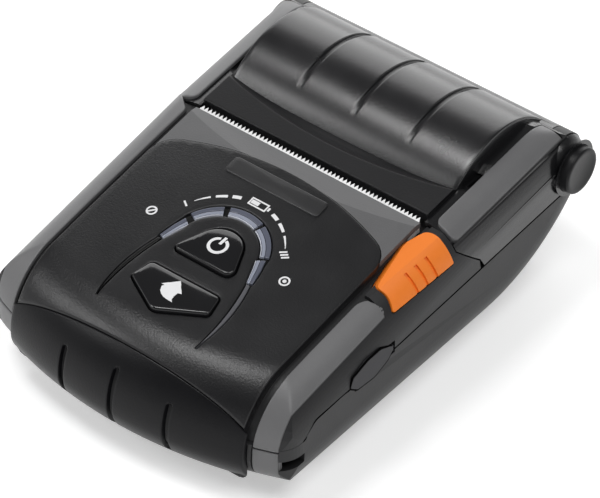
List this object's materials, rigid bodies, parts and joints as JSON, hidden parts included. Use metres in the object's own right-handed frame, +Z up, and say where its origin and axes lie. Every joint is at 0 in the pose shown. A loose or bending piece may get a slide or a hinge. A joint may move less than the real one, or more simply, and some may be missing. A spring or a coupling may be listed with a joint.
{
  "type": "portable thermal printer",
  "caption": "Portable thermal printer with a curved case, domed paper lid on rear hinges, tear bar, release button on the shoulder and a battery that slides out of the front.",
  "frame": {"origin": "centre of the overall footprint, hinge cap included, on the table under the feet", "axes": "+X to the right, release button side; +Y to the rear, hinge side; +Z up"},
  "size_m": [0.083, 0.1124, 0.0415],
  "materials": {
    "case_black": "fine grained",
    "panel_black": "satin, fine texture",
    "ramp_grey": "fine grained",
    "rail_grey": "fine grained",
    "lid_black": "semi gloss",
    "key_black": "gloss",
    "light_clear": "frosted light bars",
    "tail_grey": "satin",
    "release_orange": "satin",
    "bright_steel": "bright",
    "plated_steel": "plated",
    "shaft_steel": "ground",
    "motor_steel": "satin",
    "head_ceramic": "satin",
    "gear_plastic": "acetal",
    "platen_rubber": "matte",
    "pin_black": "satin",
    "mat_rubber": "matte",
    "board_green": "solder mask",
    "sensor_black": "matte",
    "socket_steel": "plated",
    "cover_rubber": "matte",
    "battery_black": "fine grained",
    "contact_gold": "gold plated",
    "latch_grey": "satin",
    "foot_rubber": "matte"
  },
  "bodies": {
    "case": {"bottom_case": "case_black", "top_case": "case_black", "front_panel": "panel_black", "ramp_plate": "ramp_grey", "tear_bar": "bright_steel", "name_plate": "panel_black", "case_rails": "rail_grey", "corner_rails": "rail_grey", "light_pipes": "light_clear", "light_tails": "tail_grey", "key_mat": "mat_rubber", "button_board": "board_green", "lock_shaft": "shaft_steel", "lock_spring": "shaft_steel", "side_frames": "plated_steel", "head_bracket": "plated_steel", "head_shaft": "shaft_steel", "head_springs": "shaft_steel", "drive_motor": "motor_steel", "idler_stud": "shaft_steel", "hinge_pins": "pin_black", "bay_liner": "case_black", "paper_sensor": "sensor_black", "main_board": "board_green", "data_socket": "socket_steel", "power_socket": "sensor_black", "battery_contacts": "contact_gold", "latch_spring": "shaft_steel", "feet": "foot_rubber", "case_screws": "shaft_steel", "clip_insert": "contact_gold"},
    "lid": {"lid": "lid_black", "lid_rails": "rail_grey", "platen_bracket": "plated_steel", "platen_bearings": "gear_plastic"},
    "platen": {"platen_roller": "platen_rubber", "platen_shaft": "shaft_steel", "platen_gear": "gear_plastic"},
    "idler": {"idler_gear": "gear_plastic"},
    "pinion": {"motor_pinion": "gear_plastic"},
    "release": {"open_button": "release_orange"},
    "lever": {"lock_lever": "plated_steel"},
    "power_key": {"power_button": "key_black"},
    "feed_key": {"feed_button": "key_black"},
    "battery": {"battery_end": "battery_black", "battery_pack": "battery_black", "battery_terminals": "contact_gold"},
    "latch": {"battery_latch": "latch_grey"},
    "cover": {"port_cover": "cover_rubber"},
    "head": {"print_head": "head_ceramic"}
  },
  "joints": [
    {"name": "lid_hinge", "type": "hinge", "parent": "case", "child": "lid", "pos_m": [0, 0.0491, 0.0285], "axis": [-1, 0, 0], "range_deg": [0, 95]},
    {"name": "platen_spin", "type": "hinge", "parent": "lid", "child": "platen", "pos_m": [0, 0.0152, 0.0275], "axis": [1, 0, 0], "continuous": true},
    {"name": "idler_spin", "type": "hinge", "parent": "case", "child": "idler", "pos_m": [0, 0.0152, 0.0185], "axis": [1, 0, 0], "continuous": true},
    {"name": "pinion_spin", "type": "hinge", "parent": "case", "child": "pinion", "pos_m": [0, 0.0099, 0.0132], "axis": [1, 0, 0], "continuous": true},
    {"name": "open_button_press", "type": "slide", "parent": "case", "child": "release", "axis": [-0.7071, 0, -0.7071], "range_m": [0, 0.002], "stiffness_N_per_m": 250, "springref_m": -0.002},
    {"name": "lock_lever_turn", "type": "hinge", "parent": "case", "child": "lever", "pos_m": [0, 0.0015, 0.017], "axis": [1, 0, 0], "range_deg": [0, 8], "deforming": ["lock_spring"]},
    {"name": "power_press", "type": "slide", "parent": "case", "child": "power_key", "axis": [0, 0.1647, -0.9863], "range_m": [0, 0.0005], "stiffness_N_per_m": 600, "springref_m": -0.0005},
    {"name": "feed_press", "type": "slide", "parent": "case", "child": "feed_key", "axis": [0, 0.1647, -0.9863], "range_m": [0, 0.0005], "stiffness_N_per_m": 600, "springref_m": -0.0005},
    {"name": "battery_slide", "type": "slide", "parent": "case", "child": "battery", "axis": [0, -1, 0], "range_m": [0, 0.046]},
    {"name": "latch_slide", "type": "slide", "parent": "case", "child": "latch", "axis": [0, 1, 0], "range_m": [0, 0.003], "stiffness_N_per_m": 200, "springref_m": -0.002, "deforming": ["latch_spring"]},
    {"name": "cover_flap", "type": "hinge", "parent": "case", "child": "cover", "pos_m": [0.0381, -0.0135, 0.0205], "axis": [0, 0, 1], "range_deg": [0, 100]},
    {"name": "head_pivot", "type": "hinge", "parent": "case", "child": "head", "pos_m": [0, 0.0093, 0.0214], "axis": [1, 0, 0], "range_deg": [0, 2], "stiffness_Nm_per_rad": 0.19, "springref_deg": -5.73, "deforming": ["head_springs"]}
  ],
  "couplings": [
    {"joint": "idler_spin", "follows": "platen_spin", "ratio": -0.8},
    {"joint": "pinion_spin", "follows": "platen_spin", "ratio": 1.6},
    {"joint": "lock_lever_turn", "follows": "open_button_press", "rad_per_m": 69.81}
  ]
}
